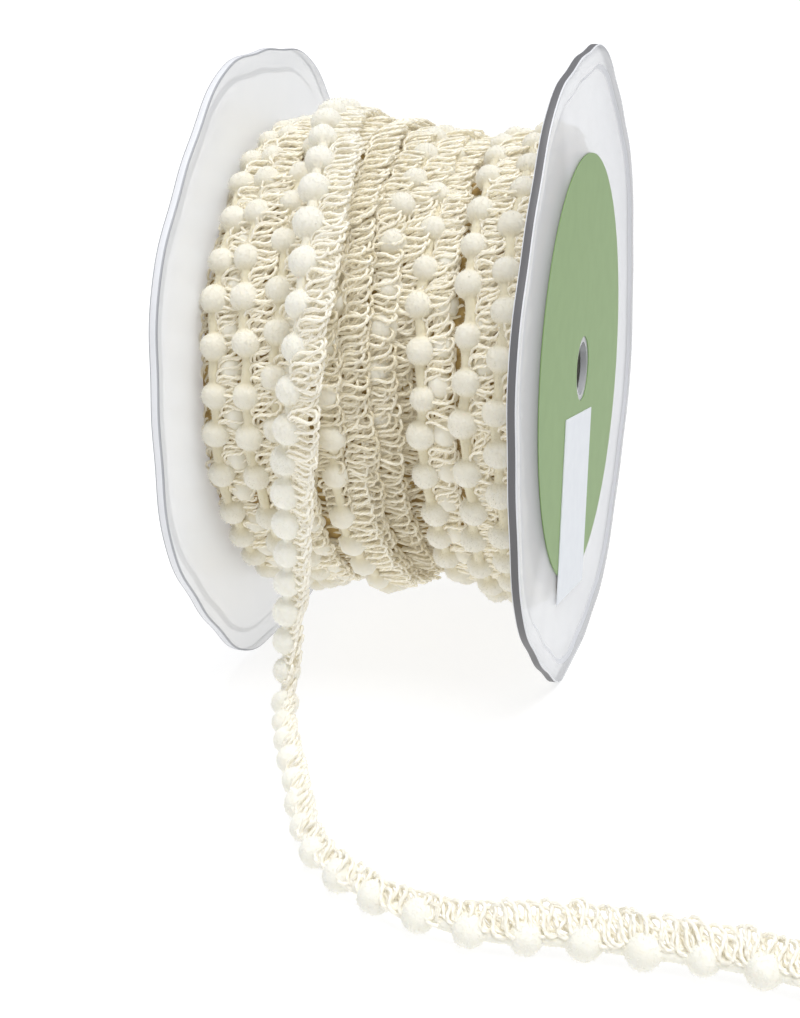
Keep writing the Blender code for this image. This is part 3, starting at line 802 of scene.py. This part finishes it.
# Cut acrylic pile: matt, with a soft sheen over its tips and a faint painted glow. Painted shade darkens the
# core and the ends of the balls where they narrow into it.
pile, tree, shader = new_material(
    "cut_acrylic_pile", Roughness=0.95, Sheen_Weight=0.2, Sheen_Roughness=0.6, Specular_IOR_Level=0.15,
    Subsurface_Weight=0.35, Subsurface_Radius=(1.0, 0.9, 0.7), Subsurface_Scale=0.0012,
    Emission_Color=colour("#FAF4D8"), Emission_Strength=0.05)
place = add_node(tree, "ShaderNodeTexCoord").outputs["Object"]
tips = add_node(tree, "ShaderNodeTexNoise", {"Scale": 2600.0, "Detail": 3.0, "Vector": place})
patches = add_node(tree, "ShaderNodeTexNoise", {"Scale": 220.0, "Detail": 1.0, "Vector": place})
trimmed = add_node(tree, "ShaderNodeMix",
                   {"Factor": patches.outputs["Fac"], 6: colour("#E1DCCC"), 7: colour("#EDE9DC")},
                   data_type="RGBA")
# Painted shade on the core and where the balls narrow into it.
on_ball = add_node(tree, "ShaderNodeAttribute", attribute_name="on_ball")
painted_core_shade = add_node(tree, "ShaderNodeMapRange", {
    "Value": on_ball.outputs["Fac"], "From Min": 0.85, "From Max": 0.25})
tone = add_node(tree, "ShaderNodeMix", {"Factor": painted_core_shade, 6: trimmed.outputs[2], 7: colour("#D9CFB0")},
                data_type="RGBA")
# Painted light: the last wrap and the loose end are painted paler, where they lie out in the light.
pale = add_node(tree, "ShaderNodeAttribute", attribute_name="pale")
tone = add_node(tree, "ShaderNodeMix", {
    "Factor": pale.outputs["Fac"], 6: tone.outputs[2], 7: colour("#F2F0E6")}, data_type="RGBA")
tree.links.new(tone.outputs[2], shader.inputs["Base Color"])
bump = add_node(tree, "ShaderNodeBump", {
    "Strength": 0.5, "Distance": 0.0002, "Height": tips.outputs["Fac"]})
tree.links.new(bump.outputs[0], shader.inputs["Normal"])

pompom_tree = pompom_nodes()


def pompom_piece(name, strands, step=0.36, sides=14, pile_density=PILE_PER_SQUARE_MM, seed=1):
    """The string of pompoms along some strands."""
    mesh = grown(name, strand_lines(name, strands), pompom_tree, Core_radius=CORE_RADIUS * MM, Step=step * MM,
                 Sides=sides, Lumps=POMPOM_LUMPS * MM, Pile_length=PILE_LENGTH * MM,
                 Pile_width=PILE_WIDTH / 2 * MM,
                 Pile_density=pile_density / MM**2, Seed=seed, Material=pile)
    return mesh_piece(name, mesh)


# The wound rows
# The rows that show on the roll, the braids that lie between them, and the deeper rows that show in
# the gaps. Each piece holds a few rows.
strands = {name: [row_strand(row, 0.37 * k) for k, row in enumerate(rows)]
           for name, rows in WOUND_ROWS.items()}
strands["last_wrap"] = [last_wrap_strand(0.74)]
for number, (name, lines) in enumerate(strands.items()):
    deep = name == "deep_rows"
    braid = braid_piece(name + "_braid", lines, yarns_used=BRAID_YARNS[:2] if deep else BRAID_YARNS,
                        step=0.22 if deep else LOOP_STEP, seed=10 * number + 1)
    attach(braid, "root")
    strung = [line for k, line in enumerate(lines) if name == "last_wrap" or WOUND_ROWS[name][k][6]]
    balls = pompom_piece(name + "_pompoms", strung, step=0.6 if deep else 0.36, sides=9 if deep else 14,
                         pile_density=0.0 if deep else PILE_PER_SQUARE_MM, seed=number)
    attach(balls, "root")

# The loose end
# The last length of the trim. It leaves the front of the winding, hangs to the floor with the braid
# turned to the front, and runs off to the right with a plain cut end just outside the view.
ROUTE = (
    # x, y, height above the floor, braid's direction x, y, z, its lift, shift and reach, pompoms' spacing
    # and radius
    (-9.20, -41.16, 44.08, 0.97, -0.25, 0.00, 0.7, -0.3, 1.00, 5.4, 2.32),
    (-9.65, -40.3, 40.4, 0.93, -0.36, 0.00, 0.3, -0.2, 0.96, 5.3, 2.32),
    (-9.9, -39.9, 35.0, 0.90, -0.44, 0.00, -0.1, 0.0, 0.86, 5.1, 2.32),
    (-10.3, -38.9, 28.5, 0.88, -0.46, 0.00, -0.4, 0.0, 0.74, 5.0, 2.30),
    (-10.8, -38.0, 21.5, 0.86, -0.50, 0.00, -0.4, 0.0, 0.66, 5.0, 2.25),
    (-11.3, -37.3, 15.0, 0.80, -0.60, 0.00, -0.2, -0.2, 0.60, 5.0, 2.20),
    (-11.7, -36.9, 8.9, 0.65, -0.75, 0.10, 0.0, -0.5, 0.60, 5.0, 2.15),
    (-11.6, -37.9, 4.2, 0.55, -0.70, 0.45, 0.2, -0.7, 0.60, 5.2, 2.10),
    (-10.8, -41.0, 2.1, 0.50, -0.20, 0.80, 0.4, -0.8, 0.62, 5.6, 2.10),
    (-8.8, -46.5, 1.9, 0.50, 0.10, 0.80, 0.5, -0.9, 0.64, 6.2, 2.10),
    (-5.0, -55.0, 1.9, 0.50, 0.20, 0.80, 0.6, -0.9, 0.64, 6.6, 2.10),
    (-0.1, -65.3, 1.9, 0.50, 0.30, 0.80, 0.7, -0.9, 0.66, 6.9, 2.10),
    (3.0, -72.5, 1.9, 0.50, 0.40, 0.75, 0.7, -0.9, 0.68, 6.9, 2.10),
    (6.6, -79.6, 1.9, 0.45, 0.50, 0.75, 0.7, -0.9, 0.70, 6.9, 2.10),
    (10.6, -84.4, 1.9, 0.40, 0.55, 0.75, 0.8, -1.0, 0.70, 6.9, 2.10),
    (16.0, -88.5, 1.9, 0.30, 0.60, 0.75, 0.9, -1.1, 0.70, 6.9, 2.10),
    (22.0, -91.7, 1.9, 0.20, 0.60, 0.75, 1.0, -1.2, 0.72, 6.9, 2.10),
    (28.0, -93.6, 1.9, 0.10, 0.65, 0.70, 1.0, -1.0, 0.76, 6.9, 2.10),
    (34.4, -94.8, 1.9, 0.05, 0.65, 0.70, 1.0, -0.8, 0.84, 6.9, 2.10),
    (40.2, -93.9, 1.9, -0.05, 0.65, 0.70, 1.0, -0.7, 0.92, 6.9, 2.10),
    (47.0, -93.3, 1.9, 0.00, 0.65, 0.70, 1.0, -0.7, 1.00, 6.9, 2.10),
    (53.1, -93.4, 1.9, 0.00, 0.65, 0.75, 1.0, -0.7, 1.00, 6.9, 2.10),
    (59.0, -93.2, 1.9, 0.00, 0.65, 0.75, 1.0, -0.8, 1.00, 6.9, 2.10),
    (65.6, -93.6, 1.9, -0.05, 0.70, 0.65, 1.0, -0.9, 1.00, 6.9, 2.10),
    (71.5, -95.0, 1.9, 0.10, 0.75, 0.60, 1.0, -0.9, 1.00, 6.9, 2.10),
    (78.0, -97.3, 1.9, 0.20, 0.80, 0.55, 1.0, -0.9, 1.00, 6.9, 2.10),
    (85.0, -99.8, 1.9, 0.25, 0.80, 0.50, 1.0, -0.9, 1.00, 6.9, 2.10),
)
TAIL_RISE = 0.7
SPAN_STEPS = 12


def tail_strand(wrap_end):
    """A smooth line through the route's points; pompoms and loops count on from the last wrap's."""
    padded = (ROUTE[0],) + ROUTE + (ROUTE[-1],)
    dense = []
    for before, start, end, after in zip(padded, padded[1:], padded[2:], padded[3:]):
        for k in range(SPAN_STEPS):
            t = k / SPAN_STEPS
            dense.append([
                0.5 * (2 * b + (c - a) * t + (2 * a - 5 * b + 4 * c - d) * t**2
                       + (3 * b - a - 3 * c + d) * t**3)
                for a, b, c, d in zip(before, start, end, after)
            ])
    dense.append(list(ROUTE[-1]))
    places = [Vector((row[0], row[1], row[2] + TAIL_RISE)) * MM for row in dense]
    stations = []
    beads = wrap_end["beads"]
    for k, place in enumerate(places):
        forward = (places[min(k + 1, len(places) - 1)] - places[max(k - 1, 0)]).normalized()
        way = Vector(dense[k][3:6])
        way = (way - forward * way.dot(forward)).normalized()
        lift, shift, reach, spacing, ball = dense[k][6:]
        beads += (place - places[max(k - 1, 0)]).length / MM / spacing
        stations.append({
            "place": place, "out": forward.cross(way), "way": way, "reach": reach, "beads": beads,
            "loops": wrap_end["loops"] + (beads - wrap_end["beads"]) * POMPOM_PITCH / LOOP_PITCH,
            "lift": lift * MM, "shift": shift * MM, "sunk": LAST_WRAP_DEPTH * MM, "ball": ball * MM,
            # Painted light: the loose end is painted paler still along its length.
            "pale": LAST_WRAP_PAINTED_LIGHT + min(0.4, k / 90)})
    return stations


tail = tail_strand(strands["last_wrap"][0][-4])
tail_braid = braid_piece("tail_braid", [tail], sides=8, seed=41)
tail_pompoms = pompom_piece("tail_pompom_string", [tail], step=0.28, sides=18, seed=3)
for piece, slot in ((tail_braid, "braid_yarn"), (tail_pompoms, "pompom_yarn")):
    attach(piece, "root")
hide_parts("tail_heading")
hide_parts("tail_pompoms")

# The studio
# A pale floor, two wide soft lights in a white room, and a camera at the photograph's angle.
FRAME_WIDTH, FRAME_HEIGHT = 800, 1018
SENSOR = 36.0
FOCAL_PIXELS = 1731.4
SPOOL_PIXEL = (424.2, 359.3)
AZIMUTH, ELEVATION, ROLL = math.radians(15.61), math.radians(12.86), math.radians(0.21)
DISTANCE = 286.8

back = Vector((math.sin(AZIMUTH) * math.cos(ELEVATION), -math.cos(AZIMUTH) * math.cos(ELEVATION),
               math.sin(ELEVATION)))
right = Vector((math.cos(AZIMUTH), math.sin(AZIMUTH), 0))
base = Matrix((right, back.cross(right), -back))
aim = Vector(((SPOOL_PIXEL[0] - FRAME_WIDTH / 2) / FOCAL_PIXELS,
              (FRAME_HEIGHT / 2 - SPOOL_PIXEL[1]) / FOCAL_PIXELS, 1)).normalized()
turned = Matrix.Rotation(ROLL, 3, "Z") @ Vector((0, 0, 1)).rotation_difference(aim).to_matrix() @ base
camera = bpy.data.objects.new("camera", bpy.data.cameras.new("camera"))
bpy.context.scene.collection.objects.link(camera)
camera.data.sensor_width = SENSOR
camera.data.lens = FOCAL_PIXELS * SENSOR / FRAME_HEIGHT
camera.data.clip_start = 0.01
axes = Matrix((turned[0], turned[1], -turned[2])).transposed()
camera.matrix_world = Matrix.Translation((Vector((0, 0, AXIS_HEIGHT)) + back * DISTANCE) * MM) @ axes.to_4x4()
bpy.context.scene.camera = camera

floor_mesh = bpy.data.meshes.new("floor")
shape = bmesh.new()
bmesh.ops.create_grid(shape, x_segments=1, y_segments=1, size=6.0)
shape.to_mesh(floor_mesh)
shape.free()
floor_paper, tree, shader = new_material(
    "white_sweep", Base_Color=colour("#949494"), Roughness=0.9, Specular_IOR_Level=0.0,
    Emission_Color=(1, 1, 1, 1), Emission_Strength=0.79)
floor = mesh_piece("floor", floor_mesh, floor_paper)
floor.location.z = -0.0001

LIGHTS = (
    # name, direction that it comes from, width in degrees, strength
    ("key", (0.20, -0.12, 1.0), 45, 2.7),
    ("fill", (-0.50, -1.0, 0.35), 40, 0.16),
)
for name, direction, width, strength in LIGHTS:
    light = bpy.data.lights.new(name, "SUN")
    light.angle = math.radians(width)
    light.energy = strength
    lamp = bpy.data.objects.new(name, light)
    lamp.rotation_euler = (-Vector(direction)).to_track_quat("-Z", "Y").to_euler()
    bpy.context.scene.collection.objects.link(lamp)

world = bpy.data.worlds.new("studio")
world.use_nodes = True
tree = world.node_tree
tree.nodes.clear()
room = add_node(tree, "ShaderNodeBackground", {"Color": colour("#F6F9FF"), "Strength": 0.425})
backdrop = add_node(tree, "ShaderNodeBackground", {"Color": (1, 1, 1, 1), "Strength": 1.0})
seen = add_node(tree, "ShaderNodeLightPath")
both = add_node(tree, "ShaderNodeMixShader", {0: seen.outputs["Is Camera Ray"], 1: room, 2: backdrop})
add_node(tree, "ShaderNodeOutputWorld", {"Surface": both})
bpy.context.scene.world = world
bpy.context.scene.view_settings.view_transform = "Standard"
